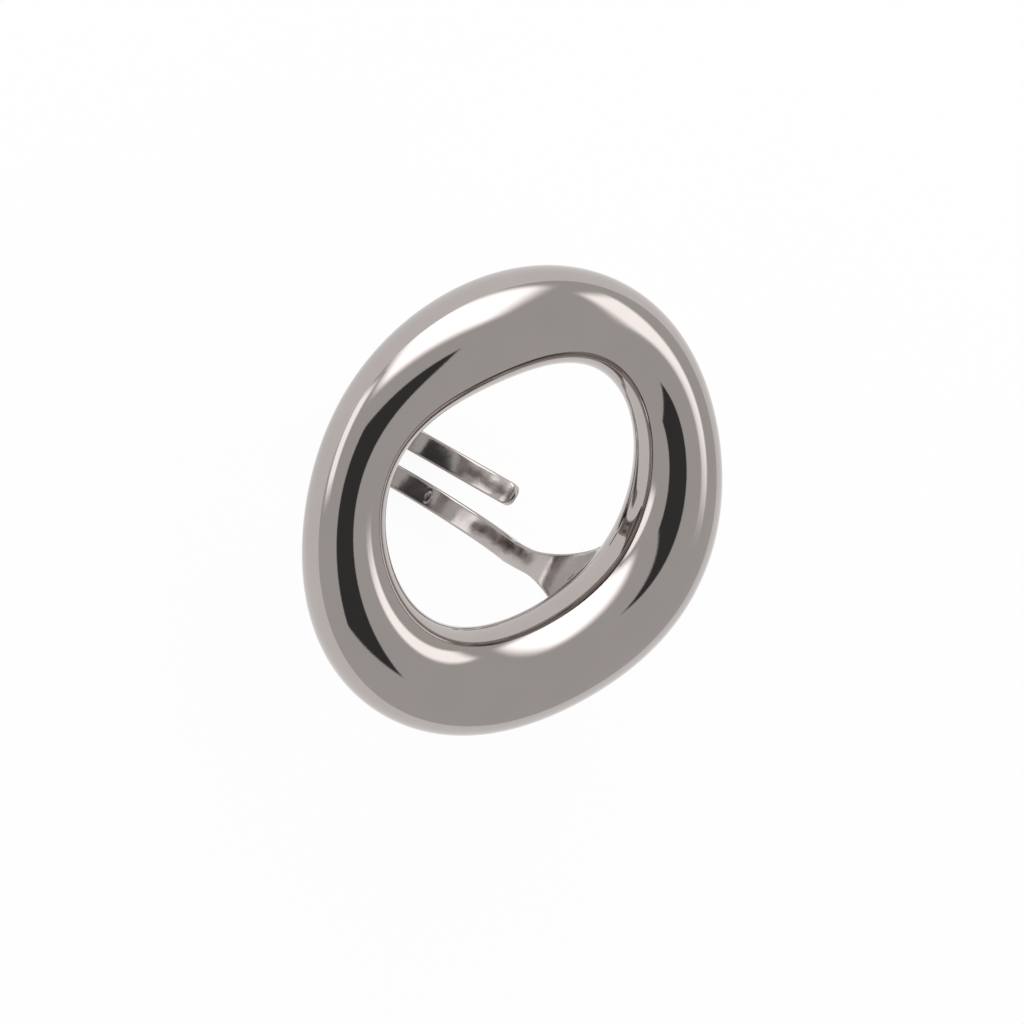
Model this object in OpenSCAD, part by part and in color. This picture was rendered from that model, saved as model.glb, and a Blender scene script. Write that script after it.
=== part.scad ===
// Open bypass finger ring with a large hollow oval hoop as its ornament.
// Frame: origin on the finger's axis, midway between the two arms of the
// shank. +Y runs along the finger, +Z points up to the hoop, and +X to the
// side of the right foot. Every length is in millimetres.

/* [Finger] */
// Inner radius of the shank, US ring size 7
finger_r = 8.6; // [8:0.1:9.6]
// Height of the hoop's middle plane above the finger's axis
hoop_height = 12.8; // [12.8:0.1:15]
// Distance of the hoop's centre along the finger from the shank's middle
hoop_offset = 1.85; // [0:0.05:3]

/* [Hoop outline] */
// Mean radius of the tube's centre line
hoop_r = 15.45; // [14:0.05:18]
// How much longer than wide the centre line is, per end
hoop_oval = 0.8; // [0:0.05:1.5]
// How far the oval leans to one diagonal
hoop_lean = 0.42; // [0:0.02:1]
// How squared the oval is
hoop_square = 0.24; // [0:0.02:0.5]

/* [Hoop tube] */
// Mean half width of the tube
tube_r = 4.06; // [3:0.02:4.5]
// Swell of the tube towards one side
swell_side = 0.42; // [0:0.02:0.6]
// Direction of the one-sided swell
swell_side_dir = -36; // [-180:1:180]
// Swell of the tube at two opposite places
swell_pair = 0.4; // [0:0.02:0.6]
// Direction of the paired swell
swell_pair_dir = 131; // [0:1:180]
// Swell of the tube at three places
swell_three = 0.28; // [0:0.02:0.4]
// Direction of the first of the three swells
swell_three_dir = 12.6; // [0:0.2:120]
// Height of the front dome as a share of the tube's half width
dome_front = 0.92; // [0.7:0.01:1]
// Height of the back dome as a share of the tube's half width
dome_back = 0.88; // [0.7:0.01:0.9]
// Thickness of the hollow tube's wall
wall = 0.8; // [0.6:0.05:1]
// Thickness of the solder between the two half shells
seam = 0.12; // [0.08:0.01:0.2]

/* [Shank] */
// Width of each arm along the finger
arm_w = 2.1; // [1.8:0.1:2.6]
// Thickness of each arm
arm_t = 1.2; // [1:0.05:1.5]
// Distance between the two arms' centre lines at the finger's middle
arm_pitch = 4.2; // [3.4:0.1:5]
// Angle by which the right arm leans towards the left one below its foot
right_lean = 3.6; // [0:0.2:5]
// Angle above the finger's middle at which an arm joins its foot
joint_angle = 10; // [5:1:15]
// Angle below the finger's middle at which an arm's tip ends
tip_angle = 15.5; // [5:0.5:30]
// Radial clearance of the flexing knuckle
knuckle_gap = 0.02; // [0.01:0.01:0.05]

/* [Feet] */
// Radius of the reverse curve of each foot
foot_r = 8; // [7.5:0.1:8.5]
// Radius of the flare on each side of a foot
flare_r = 5.4; // [4.8:0.1:7]
// Height at which a foot starts to flare
flare_z = 5.1; // [4.6:0.1:5.6]
// Depth to which a foot is let into the tube's wall
bite = 0.4; // [0.3:0.05:0.5]
// Thickness of the solder round a foot
solder_t = 0.25; // [0.2:0.05:0.4]
// How far the solder reaches down from the tube
solder_reach = 0.6; // [0.4:0.05:1]

/* [Hidden] */
$fn = 96;
stations = 80;          // sections round the hoop
outer_steps = 16;       // facets across a shell's outside
inner_steps = 8;        // facets across a shell's inside
arm_mid_r = finger_r + arm_t / 2;
foot_turn = 84;         // how far a foot turns round its reverse curve
foot_half = 4.6;         // half width from which a foot is cut
solder_half = 3.5;       // half width of the solder collar
side_right = -14;       // where round the hoop the right foot stands
side_left = 179;        // where round the hoop the left foot stands
side_span = 15;         // how far to each side of a foot the tube is matched

// Radius of the tube's centre line at angle t, seen from the front
function ring_r(t) = hoop_r - hoop_oval * cos(2 * t)
    + hoop_lean * sin(2 * t) + hoop_square * cos(4 * t);

// How fast that radius grows with the angle, per radian
function ring_slope(t) = 2 * hoop_oval * sin(2 * t)
    + 2 * hoop_lean * cos(2 * t) - 4 * hoop_square * sin(4 * t);

// Half width of the tube at angle t
function tube_half(t) = tube_r + swell_side * cos(t - swell_side_dir)
    + swell_pair * cos(2 * (t - swell_pair_dir))
    + swell_three * cos(3 * (t - swell_three_dir));

// Outward direction at right angles to the centre line at angle t
function ring_out(t) =
    let (d = ring_slope(t), r = ring_r(t),
         tx = d * cos(t) - r * sin(t), ty = d * sin(t) + r * cos(t),
         n = norm([tx, ty]))
    [ty / n, -tx / n];

// Point of a section at angle t round the hoop: across is measured along
// the section's outward direction and up along +Z, from the tube's centre
function hoop_point(t, across, up) =
    let (o = ring_out(t))
    [ring_r(t) * cos(t) + across * o[0],
     hoop_offset + ring_r(t) * sin(t) + across * o[1],
     hoop_height + up];

// Outline of a half shell's section: out along the outer half ellipse and
// back along the inner one. side is 1 for the front and -1 for the back.
function shell_section(t, dome, side) =
    let (a = tube_half(t), h = a * dome, b = a - wall, g = h - wall)
    concat(
        [for (i = [0 : outer_steps]) let (s = 180 * i / outer_steps)
            hoop_point(t, a * cos(s), side * (seam / 2 + h * sin(s)))],
        [for (i = [inner_steps : -1 : 0]) let (s = 180 * i / inner_steps)
            hoop_point(t, b * cos(s), side * (seam / 2 + g * sin(s)))]);

// Outline of a solder seam's section, between the rims of the half shells
function seam_section(t, side) =
    let (a = tube_half(t), b = a - wall, h = seam / 2)
    [hoop_point(t, side * a, h), hoop_point(t, side * b, h),
     hoop_point(t, side * b, -h), hoop_point(t, side * a, -h)];

// Closed loop of sections joined by triangles. flip turns the faces over.
module swept_loop(sections, flip = false) {
    m = len(sections[0]);
    n = len(sections);
    points = [for (s = sections) for (p = s) p];
    faces = [for (i = [0 : n - 1]) for (j = [0 : m - 1])
        let (i2 = (i + 1) % n, j2 = (j + 1) % m,
             a = i * m + j, b = i * m + j2, c = i2 * m + j2, d = i2 * m + j)
        each (flip ? [[a, b, c], [a, c, d]] : [[a, c, b], [a, d, c]])];
    polyhedron(points, faces, convexity = 6);
}

// Angles of the stations round the hoop
function station_angles() = [for (i = [0 : stations - 1]) 360 * i / stations];

module hoop_front_shell() {
    color("#b5aeab")
        swept_loop([for (t = station_angles())
            shell_section(t, dome_front, 1)], true);
}

module hoop_back_shell() {
    color("#a8a29f")
        swept_loop([for (t = station_angles())
            shell_section(t, dome_back, -1)]);
}

module hoop_outer_seam() {
    color("#c9c5c0")
        swept_loop([for (t = station_angles()) seam_section(t, 1)]);
}

module hoop_inner_seam() {
    color("#c9c5c0")
        swept_loop([for (t = station_angles()) seam_section(t, -1)], true);
}

// Turns a drawing whose Z runs along the finger into the ring's frame
module along_finger() {
    rotate([90, 0, 0]) children();
}

// Turns what is drawn for the right half into the left half
module left_side() {
    rotate([0, 0, 180]) children();
}

// Moves what is drawn on the finger's middle to where the right arm stands
module at_arm() {
    translate([0, -arm_pitch / 2, 0]) children();
}

// Flat band bent round an axis, from the angle a0 over the angle turn
module bent_band(r, thick, width, a0, turn) {
    rotate([0, 0, a0]) rotate_extrude(angle = turn)
        translate([r - thick / 2, -width / 2]) square([thick, width]);
}

// Cuts the band that is its child to a round end of radius r at the angle a.
// side is 1 to cut past that angle and -1 to cut before it.
module round_end(a, r, side, across, shift) {
    difference() {
        children();
        rotate([0, 0, a]) translate([arm_mid_r, 0, shift]) difference() {
            translate([-arm_t, side > 0 ? 0 : -2 * arm_w, -2 * arm_w])
                cube([2 * arm_t, 2 * arm_w, 4 * arm_w]);
            rotate(across ? [0, 90, 0] : [0, 0, 0])
                cylinder(r = r, h = 5 * arm_w, center = true);
        }
    }
}

// Arm of the right side: half a circle of flat strip with a round tip, and
// a half-round knuckle where it joins its foot. Its inner face stays on the
// finger's cylinder whatever the lean.
module arm(lean) {
    tip_turn = 180 - tip_angle - asin(arm_w / 2 / arm_mid_r);
    tip_shift = arm_mid_r * sin(tip_turn) * tan(lean);
    spare = 9;
    at_arm() intersection() {
        rotate([lean, 0, 0]) translate([-15, -arm_w / 2, -15])
            cube([30, arm_w, 30]);
        along_finger()
            round_end(-tip_turn, arm_w / 2, -1, true, -tip_shift)
                round_end(joint_angle, arm_t / 2, 1, false, 0)
                    bent_band(arm_mid_r, arm_t, 3 * arm_w, -tip_turn - spare,
                              tip_turn + joint_angle + 2 * spare);
    }
}

module right_arm() {
    color("#aca5a1") arm(right_lean);
}

module left_arm() {
    color("#aca5a1") left_side() arm(0);
}

// Side view of a foot: the strip bends outwards, away from the finger, and
// up to the tube. extra is added to each face.
module foot_band(extra) {
    rotate([0, 0, joint_angle]) translate([arm_mid_r + foot_r, 0, 0])
        bent_band(foot_r, arm_t + 2 * extra, 2 * foot_half,
                  180 - foot_turn, foot_turn);
}

// Front view of a foot: a stem of half width half that flares on both sides
// with the radius r above the height z0, up to the half width most
module flared_stem(half, r, z0, most) {
    deep = arm_mid_r + foot_r;
    difference() {
        translate([0, -most, 0]) cube([deep, 2 * most, 2 * deep]);
        for (side = [-1, 1]) {
            translate([-1, side * (half + r), z0]) rotate([0, 90, 0])
                cylinder(r = r, h = deep + 2);
            translate([-1, side > 0 ? half : -most - 1, -1])
                cube([deep + 2, most + 1 - half, z0 + 1]);
        }
    }
}

// Centre of the circle through three points of the plane
function circle_centre(p, q, r) =
    let (a = q - p, b = r - p, d = 2 * (a[0] * b[1] - a[1] * b[0]),
         aa = a * a, bb = b * b)
    p + [(b[1] * aa - a[1] * bb) / d, (a[0] * bb - b[0] * aa) / d];

// Point of the tube's centre line in the hoop's plane, at angle t
function ring_point(t) = [ring_r(t) * cos(t), hoop_offset + ring_r(t) * sin(t)];

// Point at the depth d inside the tube's back, at angle s below its inner
// edge: how far across and how far up it lies from the tube's centre
function let_in(t, s, d) =
    let (a = tube_half(t))
    [-(a - d) * cos(s), -(a * dome_back - d) * sin(s)];

// Round torus that follows the tube's back near angle t at the depth d. A
// foot ends where it meets this torus, inside the tube's wall.
module tube_core(t, d) {
    c = circle_centre(ring_point(t - side_span), ring_point(t),
                      ring_point(t + side_span));
    s = circle_centre(let_in(t, 35, d), let_in(t, 58, d), let_in(t, 82, d));
    translate([c[0], c[1], hoop_height + s[1]]) rotate_extrude()
        translate([norm(ring_point(t) - c) + s[0], 0])
            circle(r = norm(let_in(t, 58, d) - s));
}

// Foot of the right side, with a socket for the arm's knuckle
module foot() {
    at_arm() difference() {
        intersection() {
            along_finger() foot_band(0);
            flared_stem(arm_w / 2, flare_r, flare_z, foot_half);
        }
        along_finger() rotate([0, 0, joint_angle])
            translate([arm_mid_r, 0, 0])
                cylinder(r = arm_t / 2 + knuckle_gap, h = 20, center = true);
    }
}

module right_foot() {
    color("#a39c98") difference() {
        foot();
        tube_core(side_right, bite);
    }
}

module left_foot() {
    color("#a39c98") difference() {
        left_side() foot();
        tube_core(side_left, bite);
    }
}

// Collar of solder round a foot of the right side
module foot_solder() {
    difference() {
        at_arm() intersection() {
            along_finger() foot_band(solder_t);
            flared_stem(arm_w / 2 + solder_t, flare_r - solder_t, flare_z,
                        solder_half);
        }
        foot();
    }
}

module right_foot_solder() {
    color("#c9c5c0") difference() {
        intersection() {
            foot_solder();
            tube_core(side_right, -solder_reach);
        }
        tube_core(side_right, bite);
    }
}

module left_foot_solder() {
    color("#c9c5c0") difference() {
        intersection() {
            left_side() foot_solder();
            tube_core(side_left, -solder_reach);
        }
        tube_core(side_left, bite);
    }
}

hoop_front_shell();
hoop_back_shell();
hoop_outer_seam();
hoop_inner_seam();
right_foot();
left_foot();
right_foot_solder();
left_foot_solder();
right_arm();
left_arm();
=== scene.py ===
"""Looks of an open bypass finger ring: a hollow polished oval hoop on a shank of
two flat strips. Every piece is a surface worked out with numpy and placed in
the CAD frame: +Y along the finger, +Z up to the hoop, +X to the right foot."""

import math

import bpy
import numpy as np
from mathutils import Matrix, Vector


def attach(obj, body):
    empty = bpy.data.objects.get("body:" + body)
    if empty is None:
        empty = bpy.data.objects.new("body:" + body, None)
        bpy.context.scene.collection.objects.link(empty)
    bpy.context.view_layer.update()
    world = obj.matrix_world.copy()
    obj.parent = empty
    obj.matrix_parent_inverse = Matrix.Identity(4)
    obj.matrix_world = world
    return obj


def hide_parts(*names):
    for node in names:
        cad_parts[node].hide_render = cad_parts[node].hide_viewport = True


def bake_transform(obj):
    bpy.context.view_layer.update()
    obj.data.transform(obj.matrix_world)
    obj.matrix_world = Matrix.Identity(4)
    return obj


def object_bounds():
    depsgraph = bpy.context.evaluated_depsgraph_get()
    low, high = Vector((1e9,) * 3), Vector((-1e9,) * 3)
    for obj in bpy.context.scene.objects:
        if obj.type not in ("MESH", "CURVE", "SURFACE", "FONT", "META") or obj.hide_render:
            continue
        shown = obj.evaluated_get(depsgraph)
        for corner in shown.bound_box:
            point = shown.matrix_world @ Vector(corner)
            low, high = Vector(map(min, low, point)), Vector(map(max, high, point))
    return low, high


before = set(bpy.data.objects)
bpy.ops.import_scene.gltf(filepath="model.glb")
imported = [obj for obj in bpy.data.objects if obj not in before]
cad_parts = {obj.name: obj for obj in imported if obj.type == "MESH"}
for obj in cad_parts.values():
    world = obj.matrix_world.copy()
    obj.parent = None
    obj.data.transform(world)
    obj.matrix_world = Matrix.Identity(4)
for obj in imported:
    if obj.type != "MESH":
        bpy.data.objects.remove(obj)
cad_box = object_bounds()

MM = 0.001  # metres in a millimetre

# The design's dimensions, in millimetres and degrees, as in the CAD source
FINGER_R = 8.6
HOOP_HEIGHT = 12.8
HOOP_OFFSET = 1.85
HOOP_R, HOOP_OVAL, HOOP_LEAN, HOOP_SQUARE = 15.45, 0.8, 0.42, 0.24
TUBE_R = 4.06
SWELL_SIDE, SWELL_SIDE_DIR = 0.42, math.radians(-36)
SWELL_PAIR, SWELL_PAIR_DIR = 0.4, math.radians(131)
SWELL_THREE, SWELL_THREE_DIR = 0.28, math.radians(12.6)
DOME_FRONT, DOME_BACK = 0.92, 0.88
WALL, SEAM = 0.8, 0.12
ARM_W, ARM_T, ARM_PITCH = 2.1, 1.2, 4.2
RIGHT_LEAN = math.radians(3.6)
JOINT_ANGLE, TIP_ANGLE = math.radians(10), math.radians(15.5)
FOOT_R, FOOT_TURN = 8.0, math.radians(84)
FLARE_R, FLARE_Z = 5.4, 5.1
RIGHT_FOOT_HALF, LEFT_FOOT_HALF = 5.4, 3.9
BITE = 0.4
WIDER = 0.75  # how much lower the flare starts on the foot's inner side
ARM_MID_R = FINGER_R + ARM_T / 2


# ---------------------------------------------------------------- meshes

def grid_faces(rows, columns, close_rows):
    """Quads between neighbouring rows and columns of a grid of points. The
    columns always close on themselves; the rows do if close_rows is true."""
    last = rows if close_rows else rows - 1
    i, j = np.meshgrid(np.arange(last), np.arange(columns), indexing="ij")
    down, along = (i + 1) % rows, (j + 1) % columns
    return np.stack([i * columns + j, down * columns + j,
                     down * columns + along, i * columns + along], -1).reshape(-1, 4)


def square_grid(n):
    """Two n by n arrays from -1 to 1, the first rising by row and the second
    by column."""
    return np.meshgrid(np.linspace(-1, 1, n), np.linspace(-1, 1, n), indexing="ij")


def sheet_faces(n):
    """Quads between neighbours in an open grid of n by n points."""
    i, j = np.meshgrid(np.arange(n - 1), np.arange(n - 1), indexing="ij")
    return np.stack([i * n + j, (i + 1) * n + j,
                     (i + 1) * n + j + 1, i * n + j + 1], -1).reshape(-1, 4)


def make_piece(name, points, faces, material, triangles=None, normals=None):
    """Mesh object from an array of points in millimetres, an array of quads
    and, where it has poles, an array of triangles."""
    triangles = np.zeros((0, 3), int) if triangles is None else triangles
    mesh = bpy.data.meshes.new(name)
    corners = np.concatenate([faces.ravel(), triangles.ravel()]).astype(np.int32)
    sizes = np.concatenate([np.full(len(faces), 4), np.full(len(triangles), 3)])
    starts = np.concatenate([[0], np.cumsum(sizes)[:-1]]).astype(np.int32)
    mesh.vertices.add(len(points))
    mesh.vertices.foreach_set("co", (points * MM).astype(np.float32).ravel())
    mesh.loops.add(len(corners))
    mesh.loops.foreach_set("vertex_index", corners)
    mesh.polygons.add(len(sizes))
    mesh.polygons.foreach_set("loop_start", starts)
    mesh.polygons.foreach_set("use_smooth", np.ones(len(sizes), bool))
    mesh.update(calc_edges=True)
    mesh.validate()
    if normals is not None:
        mesh.normals_split_custom_set_from_vertices(normals.tolist())
    mesh.materials.append(material)
    piece = bpy.data.objects.new(name, mesh)
    bpy.context.scene.collection.objects.link(piece)
    return piece


def capped(points):
    """Adds a pole to each end of a sleeve of points (rows, columns, 3): the
    mean of its first and of its last row. Returns points and triangles."""
    rows, columns, _ = points.shape
    flat = points.reshape(-1, 3)
    poles = np.array([points[0].mean(0), points[-1].mean(0)])
    j = np.arange(columns)
    after = (j + 1) % columns
    first, last = rows * columns, rows * columns + 1
    base = (rows - 1) * columns
    start = np.stack([np.full(columns, first), j, after], -1)
    end = np.stack([np.full(columns, last), base + after, base + j], -1)
    return np.concatenate([flat, poles]), np.concatenate([start, end])


def smooth_step(x):
    """0 below 0, 1 above 1, and 3x^2 - 2x^3 between."""
    x = np.clip(x, 0, 1)
    return x * x * (3 - 2 * x)


# ---------------------------------------------------------------- the hoop

def ring_radius(t):
    """Radius of the tube's centre line at angle t: its mean, an oval, a lean
    of that oval and a squareness, as cosines and a sine of 2t and 4t."""
    return (HOOP_R - HOOP_OVAL * np.cos(2 * t) + HOOP_LEAN * np.sin(2 * t)
            + HOOP_SQUARE * np.cos(4 * t))


def tube_half(t):
    """Half width of the tube at angle t: its mean and three swells, which
    turn once, twice and three times round the hoop."""
    return (TUBE_R + SWELL_SIDE * np.cos(t - SWELL_SIDE_DIR)
            + SWELL_PAIR * np.cos(2 * (t - SWELL_PAIR_DIR))
            + SWELL_THREE * np.cos(3 * (t - SWELL_THREE_DIR)))


def ring_frame(t):
    """Centre-line point at angle t and the level direction square to it,
    outwards: the tangent is the derivative of the radius turned by t."""
    r = ring_radius(t)
    slope = (2 * HOOP_OVAL * np.sin(2 * t) + 2 * HOOP_LEAN * np.cos(2 * t)
             - 4 * HOOP_SQUARE * np.sin(4 * t))
    tangent_x = slope * np.cos(t) - r * np.sin(t)
    tangent_y = slope * np.sin(t) + r * np.cos(t)
    length = np.hypot(tangent_x, tangent_y)
    return (r * np.cos(t), HOOP_OFFSET + r * np.sin(t),
            tangent_y / length, -tangent_x / length)


def tube_point(t, across, up):
    """Point across and up from the tube's centre, in its section at t."""
    x, y, out_x, out_y = ring_frame(t)
    return np.stack(np.broadcast_arrays(x + across * out_x, y + across * out_y,
                                        HOOP_HEIGHT + up), -1)


def dome_point(t, s, dome, side):
    """Outer face of a half shell: half an ellipse, half the tube's width
    wide and dome times that high, raised by half the seam."""
    half = tube_half(t)
    return tube_point(t, half * np.cos(s),
                      side * (SEAM / 2 + half * dome * np.sin(s)))


def unit(v):
    return v / np.linalg.norm(v, axis=-1, keepdims=True)


def half_shell(name, dome, side, material, stations=480, outer=72, inner=16):
    """Hollow half shell of the hoop: dome_point outside, and inside the same
    with both half axes less the wall. The normals outside are exact, from
    the cross product of the surface's two small differences."""
    t = np.linspace(0, 2 * math.pi, stations, endpoint=False)[:, None]
    s = np.linspace(0, math.pi, outer + 1)[None, :]
    outside = dome_point(t, s, dome, side)
    e = 1e-4
    along = dome_point(t + e, s, dome, side) - dome_point(t - e, s, dome, side)
    round_it = dome_point(t, s + e, dome, side) - dome_point(t, s - e, dome, side)
    normal_out = unit(np.cross(along, round_it)) * side
    s = np.linspace(math.pi, 0, inner + 1)[None, :]
    half = tube_half(t)
    inside = tube_point(t, (half - WALL) * np.cos(s),
                        side * (SEAM / 2 + (half * dome - WALL) * np.sin(s)))
    centre = tube_point(t, 0 * s, 0 * s)
    points = np.concatenate([outside, inside], 1)
    normals = np.concatenate([normal_out, unit(centre - inside)], 1)
    faces = grid_faces(*points.shape[:2], True)
    faces = faces if side > 0 else faces[:, ::-1]
    return make_piece(name, points.reshape(-1, 3), faces, material,
                      normals=normals.reshape(-1, 3))


def seam_band(name, side, material, stations=480):
    """Band of solder between the rims of the half shells: a rectangle as
    wide as the wall and as high as the seam, carried round the hoop on its
    outer side (1) or its inner side (-1)."""
    t = np.linspace(0, 2 * math.pi, stations, endpoint=False)[:, None]
    half = tube_half(t)
    across = side * np.concatenate([half, half, half - WALL, half - WALL], 1)
    up = SEAM / 2 * np.array([[-1, 1, 1, -1]])
    points = tube_point(t, across, up)
    _, _, out_x, out_y = ring_frame(t)
    out = np.stack(np.broadcast_arrays(out_x, out_y, 0 * t), -1) * side
    normals = np.concatenate([out, out, -out, -out], 1)
    faces = grid_faces(stations, 4, True)
    faces = faces if side > 0 else faces[:, ::-1]
    return make_piece(name, points.reshape(-1, 3), faces, material,
                      normals=normals.reshape(-1, 3))


# ---------------------------------------------------------------- the strips

TIP_DOME = 1.5      # length over which a tip thins to its dome
EDGE_ROUND = 0.22   # rounding of a strip's edges
CROWN = 0.025       # how far a strip's faces are crowned
MOUND_SLANT = 0.25  # how far a hammer mound slants over half the strip's width

# The blank oval stamp: half sizes along and across the strip, the depth of its
# outline, and how wide that is as a share of the half sizes
STAMP_ALONG, STAMP_ACROSS = 0.26, 0.52
STAMP_DEPTH, STAMP_LINE = 0.022, 0.22


def strip_section(corner_steps=8, face_steps=16):
    """Outline of a strip's section as four arrays: the share of the half
    width and of the half thickness that the rounding's centre takes, and the
    unit vector of the rounding. The thickness points to the finger at +1."""
    share, turn_x, turn_z, share_z = [], [], [], []
    quarter = np.linspace(0, math.pi / 2, corner_steps)
    across = np.linspace(1, -1, face_steps + 2)[1:-1]
    for corner in range(4):
        angle = quarter + corner * math.pi / 2
        sign_x = 1 if corner in (0, 3) else -1
        sign_z = 1 if corner in (0, 1) else -1
        share.append(np.full(corner_steps, sign_x))
        share_z.append(np.full(corner_steps, sign_z))
        turn_x.append(np.cos(angle))
        turn_z.append(np.sin(angle))
        if corner in (0, 2):
            share.append(across * sign_x)
            share_z.append(np.full(face_steps, sign_z))
            turn_x.append(np.zeros(face_steps))
            turn_z.append(np.full(face_steps, sign_z))
    return tuple(np.concatenate(a) for a in (share, share_z, turn_x, turn_z))


def strip_sleeve(mid, inward, centre_y, half_w, half_t, rounding, relief):
    """Sleeve of points of a strip. mid (n, 2) is its middle line in x and z,
    inward (n, 2) the direction to the finger, and the rest are its middle in
    y, half widths to its +Y and -Y sides (n, 2), half thickness and edge
    rounding at each of the n stations. relief(w, face) gives how far each
    face stands proud at width share w."""
    share, share_z, turn_x, turn_z = strip_section()
    half_w = np.where(share > 0, half_w[:, :1], half_w[:, 1:])
    half_t = half_t[:, None]
    r = np.minimum(rounding[:, None], 0.98 * np.minimum(half_w, half_t))
    y = share * (half_w - r) + turn_x * r
    depth = share_z * (half_t - r) + turn_z * r
    depth = depth + relief(y / half_w, share_z) * np.clip(half_t / (ARM_T / 2), 0, 1)
    x = mid[:, :1] + inward[:, :1] * depth
    z = mid[:, 1:] + inward[:, 1:] * depth
    return np.stack([x, centre_y[:, None] + y, z], -1)


def bumps(arc, places):
    """Sum of smooth mounds along the strip: each place is (where, half
    length, height), and a mound is height times exp(-((arc - where)/half)^2)."""
    total = np.zeros_like(arc)
    for where, half, height in places:
        total = total + height * np.exp(-((arc - where) / half) ** 2)
    return total


def turned_half(points):
    """The left half: the right half turned half a turn about +Z."""
    return points * np.array([-1, -1, 1])


def arm_points(lean, hammer, rows=720, tip_rows=90):
    """Points of an arm: a half circle of strip about the finger from the
    joint to a round, domed tip. hammer(arc, w, face) is the relief of its
    faces, with arc in millimetres from the tip."""
    tip = math.pi - TIP_ANGLE
    whole = (tip + JOINT_ANGLE) * ARM_MID_R
    turn = np.linspace(math.pi / 2, 0, tip_rows)
    arc = np.concatenate([np.linspace(whole, TIP_DOME, rows)[:-1],
                          TIP_DOME * (1 - np.cos(turn))])
    angle = arc / ARM_MID_R - tip
    mid = ARM_MID_R * np.stack([np.cos(angle), np.sin(angle)], -1)
    inward = -np.stack([np.cos(angle), np.sin(angle)], -1)
    end = np.clip(1 - arc / (ARM_W / 2), 0, 1)
    half_w = ARM_W / 2 * np.sqrt(np.clip(1 - end ** 2, 1e-5, 1))
    dome = np.clip(1 - arc / TIP_DOME, 0, 1)
    half_t = ARM_T / 2 * np.sqrt(np.clip(1 - dome ** 2, 1e-5, 1))
    centre_y = -ARM_PITCH / 2 - mid[:, 1] * math.tan(lean)
    sleeve = strip_sleeve(mid, inward, centre_y, np.stack([half_w, half_w], 1),
                          half_t, np.full_like(arc, EDGE_ROUND),
                          lambda w, face: hammer(arc[:, None], w, face))
    return sleeve


def arm_relief(arc, w, face, stamp, waves):
    """Hammer marks of an arm: slow mounds along it that bend both faces, a
    little crown across it, and on the finger's side the outline of a blank
    oval stamp, pressed in as a thin groove."""
    relief = bumps(arc + MOUND_SLANT * w, waves) * face + CROWN * (1 - w ** 2)
    if stamp is not None:
        oval = np.sqrt(((arc - stamp) / STAMP_ALONG) ** 2
                       + (w * ARM_W / 2 / STAMP_ACROSS) ** 2)
        groove = -STAMP_DEPTH * np.exp(-((oval - 1) / STAMP_LINE) ** 2)
        relief = relief + np.where(face > 0, groove, 0)
    return relief * np.sign(face)


def make_arm(name, lean, left, waves, stamp, material):
    """One arm as a closed piece."""
    sleeve = arm_points(lean, lambda arc, w, face:
                        arm_relief(arc, w, face, stamp, waves))
    sleeve = turned_half(sleeve) if left else sleeve
    points, triangles = capped(sleeve)
    faces = grid_faces(*sleeve.shape[:2], False)
    return make_piece(name, points, faces, material, triangles)


# Hammer mounds of a foot: where from its joint, half length and height
FOOT_WAVES = [(2.4, 0.8, 0.04), (5.4, 1.1, 0.05)]
FLARE_SHARE = 0.985   # share of the flare's quarter circle that is used
LEAN_FADE = 2.2       # the lean fades out over 1 / LEAN_FADE of the foot


def foot_angle_point(beta):
    """Middle line of a foot, and its direction to the finger: an arc about a
    centre outside the shank, beta being the angle seen from that centre."""
    reach = ARM_MID_R + FOOT_R
    centre = reach * np.array([math.cos(JOINT_ANGLE), math.sin(JOINT_ANGLE)])
    out = np.stack([np.cos(beta), np.sin(beta)], -1)
    return centre + FOOT_R * out, out


def stem_half(z, start, most):
    """Half width of a foot at height z: the arm's, then a circular flare
    from the height start, up to the half width most."""
    rise = np.clip(z - start, 0, FLARE_SHARE * FLARE_R)
    flare = ARM_W / 2 + FLARE_R - np.sqrt(FLARE_R ** 2 - rise ** 2)
    return np.minimum(flare, most)


def foot_sleeve(left, rows=240):
    """Points of a foot: the strip bends back from the finger and widens
    towards its root. The last ones lie inside the hoop's hollow."""
    beta = math.pi + JOINT_ANGLE - np.linspace(0, FOOT_TURN, rows)
    mid, inward = foot_angle_point(beta)
    share = np.linspace(0, 1, rows)
    lean = 0 if left else -mid[0, 1] * math.tan(RIGHT_LEAN)
    centre_y = -ARM_PITCH / 2 + lean * (1 - smooth_step(LEAN_FADE * share))
    waves = bumps(share * FOOT_TURN * FOOT_R, FOOT_WAVES)[:, None]
    most = LEFT_FOOT_HALF if left else RIGHT_FOOT_HALF
    half_w = np.stack([stem_half(mid[:, 1], FLARE_Z - WIDER, most),
                       stem_half(mid[:, 1], FLARE_Z, most)], 1)
    sleeve = strip_sleeve(mid, inward, centre_y, half_w,
                          np.full(rows, ARM_T / 2), np.full(rows, EDGE_ROUND),
                          lambda w, face: (waves * face + CROWN * (1 - w ** 2))
                          * np.sign(face))
    return turned_half(sleeve) if left else sleeve


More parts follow.
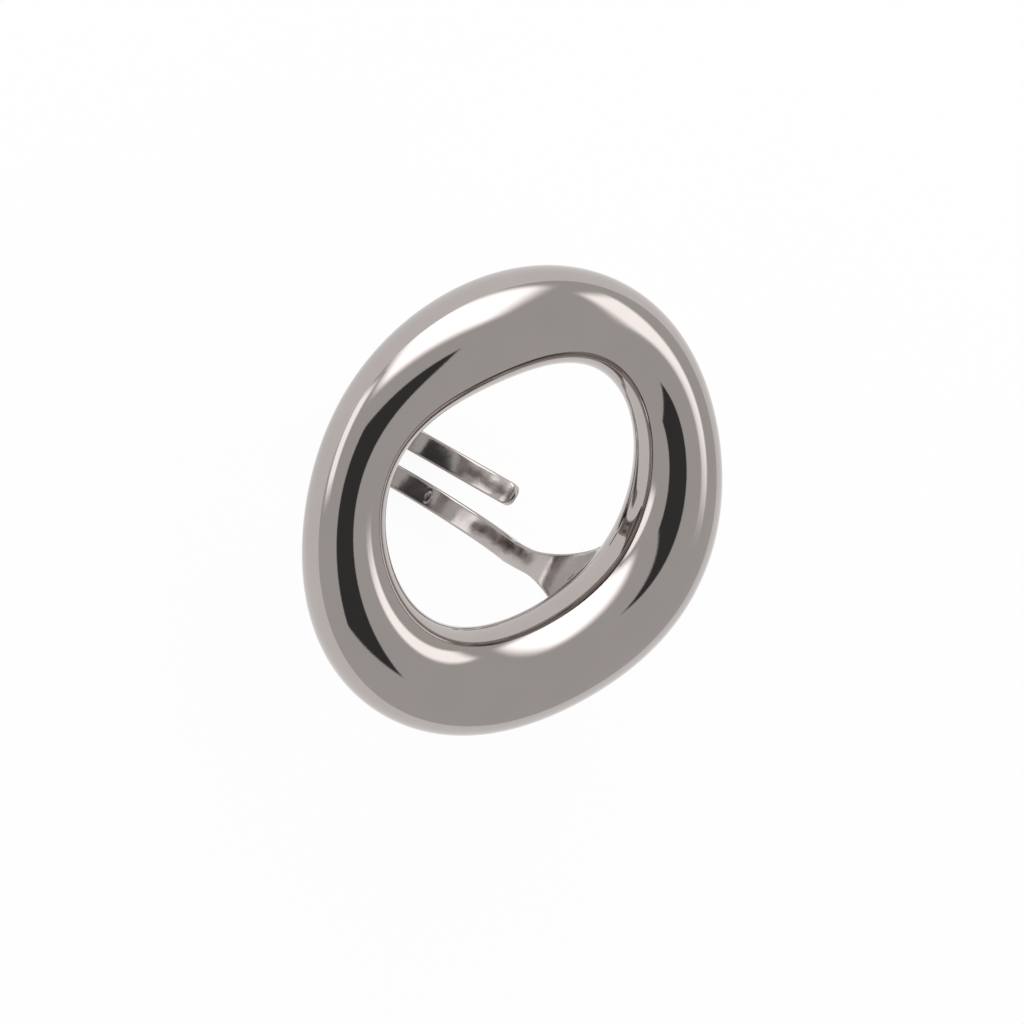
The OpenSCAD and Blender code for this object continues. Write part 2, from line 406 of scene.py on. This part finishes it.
def tube_place(points):
    """Where points lie in the hoop's tube: the angle round the hoop, how far
    across and up they are from its centre, and their distance from it as a
    share of the tube's own half width or dome that way."""
    x, y = points[..., 0], points[..., 1] - HOOP_OFFSET
    t = np.arctan2(y, x)
    for _ in range(4):
        centre_x, centre_y, out_x, out_y = ring_frame(t)
        along = -(points[..., 0] - centre_x) * out_y + (points[..., 1] - centre_y) * out_x
        t = t + along / ring_radius(t)
    centre_x, centre_y, out_x, out_y = ring_frame(t)
    across = (points[..., 0] - centre_x) * out_x + (points[..., 1] - centre_y) * out_y
    up = points[..., 2] - HOOP_HEIGHT
    half = tube_half(t)
    dome = np.where(up > 0, DOME_FRONT, DOME_BACK) * half
    return t, across, up, np.hypot(across / half, up / dome)


def along_columns(sleeve, place):
    """Points of a sleeve at the row numbers place (n, columns), which need
    not be whole: a straight mix of the rows below and above."""
    place = np.clip(place, 0, len(sleeve) - 1.001)
    columns = np.arange(sleeve.shape[1])
    low = np.floor(place).astype(int)
    part = (place - low)[..., None]
    return sleeve[low, columns] * (1 - part) + sleeve[low + 1, columns] * part


def meets_tube(sleeve, inset):
    """Row number, not whole, at which each column of a sleeve first lies
    the share inset inside the tube."""
    share = tube_place(sleeve)[3]
    inside = share < 1 - inset
    after = np.where(inside.any(0), inside.argmax(0), len(sleeve) - 1)
    columns = np.arange(sleeve.shape[1])
    before = np.maximum(after - 1, 0)
    high, low = share[before, columns], share[after, columns]
    part = (high - (1 - inset)) / np.maximum(high - low, 1e-6)
    return before + np.clip(part, 0, 1)


def make_foot(name, left, material, rows=160):
    """One foot as a closed piece. It stops inside the tube's wall, so no
    part of it reaches the hollow."""
    sleeve = foot_sleeve(left)
    root = meets_tube(sleeve, BITE / TUBE_R)
    sleeve = along_columns(sleeve, np.linspace(0, 1, rows)[:, None] * root)
    points, triangles = capped(sleeve)
    faces = grid_faces(*sleeve.shape[:2], False)
    return make_piece(name, points, faces[:, ::-1], material, triangles[:, ::-1])


FILLET_REACH = 0.75   # how far a solder fillet reaches from its corner
FILLET_DEPTH = 0.12   # how far a fillet's hidden sides lie under the surfaces
FILLET_CORE = 0.5     # how far up the foot a fillet's deepest line is sought
FILLET_SINK = 0.6     # part of that way that the deepest line takes
FILLET_UNDER = 0.97   # its edge under the tube, as a share of the tube's radius


def make_fillet(name, left, material, steps=12):
    """Solder fillet round a foot: at every point of the foot's outline a
    parabola from the foot, drawn to the corner, to the tube, and back under
    both surfaces. It is a closed ring of such sections."""
    sleeve = foot_sleeve(left)
    step = np.linalg.norm(sleeve[1, 0] - sleeve[0, 0])
    met = meets_tube(sleeve, 0.0)
    corner = along_columns(sleeve, met[None, :])[0]
    on_foot = along_columns(sleeve, met[None, :] - FILLET_REACH / step)[0]
    core = along_columns(sleeve, met[None, :] + FILLET_CORE / step)[0]
    middle = corner.mean(0)
    out = unit(corner - middle)
    t, across, up, share = tube_place(corner + FILLET_REACH * out)
    on_tube = tube_point(t, across / share, up / share)
    within = on_foot + FILLET_DEPTH * unit(on_foot.mean(0) - on_foot)
    t, across, up, _ = tube_place(on_tube)
    under = tube_point(t, across * FILLET_UNDER, up * FILLET_UNDER)
    s = np.linspace(0, 1, steps)[:, None, None]
    curve = (1 - s) ** 2 * on_foot + 2 * s * (1 - s) * corner + s ** 2 * on_tube
    deep = corner + FILLET_SINK * (core - corner) - FILLET_DEPTH * out
    points = np.concatenate([curve, under[None], deep[None], within[None]])
    faces = grid_faces(*points.shape[:2], True)
    return make_piece(name, points.reshape(-1, 3), faces[:, ::-1], material)


# ---------------------------------------------------------------- finishes

def metal(name, colour, roughness, spread, grain, fine):
    """Bare polished metal: its colour drifts a little over a few millimetres,
    its roughness over about one, and a fine grain bends its light."""
    material = bpy.data.materials.new(name)
    material.use_nodes = True
    nodes, links = material.node_tree.nodes, material.node_tree.links
    shader = nodes["Principled BSDF"]
    shader.inputs["Metallic"].default_value = 1.0
    place = nodes.new("ShaderNodeTexCoord")
    drift = nodes.new("ShaderNodeTexNoise")
    drift.inputs["Scale"].default_value = 220.0
    drift.inputs["Detail"].default_value = 3.0
    links.new(place.outputs["Object"], drift.inputs["Vector"])
    tint = nodes.new("ShaderNodeValToRGB")
    tint.color_ramp.elements[0].position = 0.3
    tint.color_ramp.elements[1].position = 0.7
    tint.color_ramp.elements[0].color = (*[c * (1 - spread) for c in colour], 1)
    tint.color_ramp.elements[1].color = (*[c * (1 + spread) for c in colour], 1)
    links.new(drift.outputs["Fac"], tint.inputs["Fac"])
    links.new(tint.outputs["Color"], shader.inputs["Base Color"])
    wear = nodes.new("ShaderNodeTexNoise")
    wear.inputs["Scale"].default_value = 900.0
    wear.inputs["Detail"].default_value = 5.0
    links.new(place.outputs["Object"], wear.inputs["Vector"])
    rough = nodes.new("ShaderNodeMapRange")
    rough.inputs["From Min"].default_value = 0.3
    rough.inputs["From Max"].default_value = 0.75
    rough.inputs["To Min"].default_value = roughness * 0.7
    rough.inputs["To Max"].default_value = roughness * 1.6
    links.new(wear.outputs["Fac"], rough.inputs["Value"])
    links.new(rough.outputs["Result"], shader.inputs["Roughness"])
    hair = nodes.new("ShaderNodeTexNoise")
    hair.inputs["Scale"].default_value = grain
    hair.inputs["Detail"].default_value = 4.0
    links.new(place.outputs["Object"], hair.inputs["Vector"])
    bump = nodes.new("ShaderNodeBump")
    bump.inputs["Strength"].default_value = fine
    bump.inputs["Distance"].default_value = 0.00002
    links.new(hair.outputs["Fac"], bump.inputs["Height"])
    links.new(bump.outputs["Normal"], shader.inputs["Normal"])
    return material


def floor_material():
    """Plain pale floor that glows, as a studio's light table does, and is
    matt and grey enough under its glow to take a faint shadow."""
    material = bpy.data.materials.new("pale_table")
    material.use_nodes = True
    shader = material.node_tree.nodes["Principled BSDF"]
    shader.inputs["Base Color"].default_value = (0.08, 0.08, 0.08, 1)
    shader.inputs["Roughness"].default_value = 0.9
    shader.inputs["Specular IOR Level"].default_value = 0.0
    shader.inputs["Emission Color"].default_value = (1, 1, 1, 1)
    shader.inputs["Emission Strength"].default_value = 0.93
    return material


# ---------------------------------------------------------------- the set

VIEW_TILT = math.radians(30)      # from straight above the hoop, towards -X
VIEW_ROLL = math.radians(29.67)   # turn of the picture about the line of sight
VIEW_DISTANCE = 350.0             # millimetres from the hoop
VIEW_WIDTH = 85.333               # millimetres seen across at the hoop
SENSOR_WIDTH = 36.0               # millimetres
AIM = (-0.076, HOOP_OFFSET - 0.318, HOOP_HEIGHT)   # what the camera looks at
AIM_RIGHT, AIM_UP = 0.083, -0.833   # framing of the hoop, in millimetres

SIGHT = np.array([-math.sin(VIEW_TILT), 0, math.cos(VIEW_TILT)])
LEVEL = np.array([math.cos(VIEW_TILT), 0, math.sin(VIEW_TILT)])
ALONG = np.array([0.0, 1.0, 0.0])
PICTURE_RIGHT = math.cos(VIEW_ROLL) * LEVEL + math.sin(VIEW_ROLL) * ALONG
PICTURE_UP = -math.sin(VIEW_ROLL) * LEVEL + math.cos(VIEW_ROLL) * ALONG


def make_camera():
    """Long lens looking down on the hoop from the side of the left arm."""
    place = (np.array(AIM) + SIGHT * VIEW_DISTANCE + PICTURE_RIGHT * AIM_RIGHT
             + PICTURE_UP * AIM_UP)
    data = bpy.data.cameras.new("studio_camera")
    data.sensor_width = SENSOR_WIDTH
    data.lens = SENSOR_WIDTH * VIEW_DISTANCE / VIEW_WIDTH
    data.clip_start, data.clip_end = 0.01, 10.0
    camera = bpy.data.objects.new("studio_camera", data)
    turn = Matrix([list(row) for row in
                   np.stack([PICTURE_RIGHT, PICTURE_UP, SIGHT], 1)])
    camera.matrix_world = Matrix.Translation(Vector(place * MM)) @ turn.to_4x4()
    bpy.context.scene.collection.objects.link(camera)
    bpy.context.scene.camera = camera


ROOM_LIGHT = 0.66   # brightness of the room, which the softboxes fade to


def glow_material(name, brightness):
    """Cloth of a softbox. Its light fades from the cloth's own brightness to
    the room's towards its edges, as the fade layer of its mesh says."""
    material = bpy.data.materials.new(name)
    material.use_nodes = True
    nodes, links = material.node_tree.nodes, material.node_tree.links
    shader = nodes["Principled BSDF"]
    shader.inputs["Base Color"].default_value = (0.02, 0.02, 0.02, 1)
    shader.inputs["Roughness"].default_value = 1.0
    shader.inputs["Specular IOR Level"].default_value = 0.0
    shader.inputs["Emission Color"].default_value = (1, 1, 1, 1)
    layer = nodes.new("ShaderNodeAttribute")
    layer.attribute_name = "fade"
    level = nodes.new("ShaderNodeMapRange")
    level.inputs["To Min"].default_value = ROOM_LIGHT
    level.inputs["To Max"].default_value = brightness
    links.new(layer.outputs["Fac"], level.inputs["Value"])
    links.new(level.outputs["Result"], shader.inputs["Emission Strength"])
    return material


SOFTBOX_POINTS = 61   # points along a softbox's side

# Each softbox: its name, how many degrees right of and above the line of sight
# it stands, its distance from the hoop, width and height in millimetres, its
# brightness, and the share of its half size over which it fades
SOFTBOXES = [("top_softbox", 0, 50, 500, 750, 600, 2.6, 0.5),
             ("left_softbox", -50, 15, 500, 170, 450, 1.9, 0.5),
             ("right_softbox", 75, 15, 500, 190, 600, 2.0, 0.5),
             ("dark_cloth", 8, -25, 450, 370, 430, 0.04, 0.12)]


def make_softbox(name, right, up, distance, width, height, brightness, soft):
    """Flat panel that faces the hoop, as a line of SOFTBOXES describes it."""
    angle = math.hypot(right, up)
    aside = (right * PICTURE_RIGHT + up * PICTURE_UP) / angle
    turn = math.radians(angle)
    facing = math.cos(turn) * SIGHT + math.sin(turn) * aside
    centre = np.array([0, HOOP_OFFSET, HOOP_HEIGHT]) + distance * facing
    across = unit(np.cross(PICTURE_UP, facing))
    upward = np.cross(facing, across)
    i, j = square_grid(SOFTBOX_POINTS)
    points = (centre + i[..., None] * across * width / 2
              + j[..., None] * upward * height / 2)
    fade = smooth_step((1 - np.abs(i)) / soft) * smooth_step((1 - np.abs(j)) / soft)
    panel = make_piece(name, points.reshape(-1, 3), sheet_faces(SOFTBOX_POINTS),
                       glow_material(name, brightness))
    layer = panel.data.attributes.new("fade", "FLOAT", "POINT")
    layer.data.foreach_set("value", fade.astype(np.float32).ravel())


def make_studio():
    """Plain soft studio light: a pale room, one large softbox above the
    camera, a narrow one on each side and dark cloth behind the camera."""
    world = bpy.data.worlds.new("studio")
    bpy.context.scene.world = world
    world.use_nodes = True
    background = world.node_tree.nodes["Background"]
    background.inputs["Color"].default_value = (1, 0.995, 0.99, 1)
    background.inputs["Strength"].default_value = ROOM_LIGHT
    for softbox in SOFTBOXES:
        make_softbox(*softbox)


FLOOR_GAP = 0.05      # millimetres between the shank and the floor
FLOOR_HALF = 900.0    # half of the floor's side, in millimetres
FLOOR_POINTS = 41     # points along the floor's side


def make_floor(material):
    """Plain flat floor just under the shank."""
    lowest = cad_box[0].z / MM - FLOOR_GAP
    x, y = square_grid(FLOOR_POINTS)
    points = np.stack([FLOOR_HALF * x, FLOOR_HALF * y, np.full_like(x, lowest)], -1)
    floor = make_piece("floor", points.reshape(-1, 3), sheet_faces(FLOOR_POINTS),
                       material)


# ---------------------------------------------------------------- assembly

SILVER = (0.448, 0.410, 0.396)   # darker than real silver, to read as grey metal
hoop_metal = metal("mirror_polished_silver", SILVER, 0.035, 0.02, 5000.0, 0.04)
strip_metal = metal("hammered_silver", (0.46, 0.42, 0.405), 0.14, 0.06, 2500.0, 0.3)
solder_metal = metal("silver_solder", (0.45, 0.42, 0.41), 0.08, 0.05, 1800.0, 0.25)

front = half_shell("hoop_front", DOME_FRONT, 1, hoop_metal)
back = half_shell("hoop_back", DOME_BACK, -1, hoop_metal)
outer_seam = seam_band("hoop_outer_seam_line", 1, hoop_metal)
inner_seam = seam_band("hoop_inner_seam_line", -1, hoop_metal)
for piece, node in ((front, "hoop_front_shell"), (back, "hoop_back_shell"),
                    (outer_seam, "hoop_outer_seam"), (inner_seam, "hoop_inner_seam")):
    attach(piece, "hoop")
    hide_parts(node)

# Hammer mounds: where from the tip, half length and height, in millimetres
RIGHT_WAVES = [(9.0, 2.0, 0.05), (15.0, 1.8, 0.04), (20.6, 1.2, 0.06), (24.6, 0.9, 0.05)]
LEFT_WAVES = [(3.6, 1.2, 0.06), (8.4, 1.2, 0.07), (12.6, 1.4, 0.06), (17.5, 1.8, 0.04)]
STAMP_PLACE = 16.45   # millimetres from the tip
right_arm = make_arm("right_strip", RIGHT_LEAN, False, RIGHT_WAVES, STAMP_PLACE,
                     strip_metal)
left_arm = make_arm("left_strip", 0.0, True, LEFT_WAVES, None, strip_metal)
right_foot = make_foot("right_flared_foot", False, strip_metal)
left_foot = make_foot("left_flared_foot", True, strip_metal)
for arm, body, side in ((right_arm, "right_arm", 1), (left_arm, "left_arm", -1)):
    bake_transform(arm)
    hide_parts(body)
for foot, node in ((right_foot, "right_foot"), (left_foot, "left_foot")):
    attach(foot, "hoop")
    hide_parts(node)
for name, node, left in (("right_solder_fillet", "right_foot_solder", False),
                         ("left_solder_fillet", "left_foot_solder", True)):
    fillet = make_fillet(name, left, solder_metal)
    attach(fillet, "hoop")
    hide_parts(node)

make_floor(floor_material())
make_studio()
make_camera()
bpy.context.scene.view_settings.view_transform = "Standard"
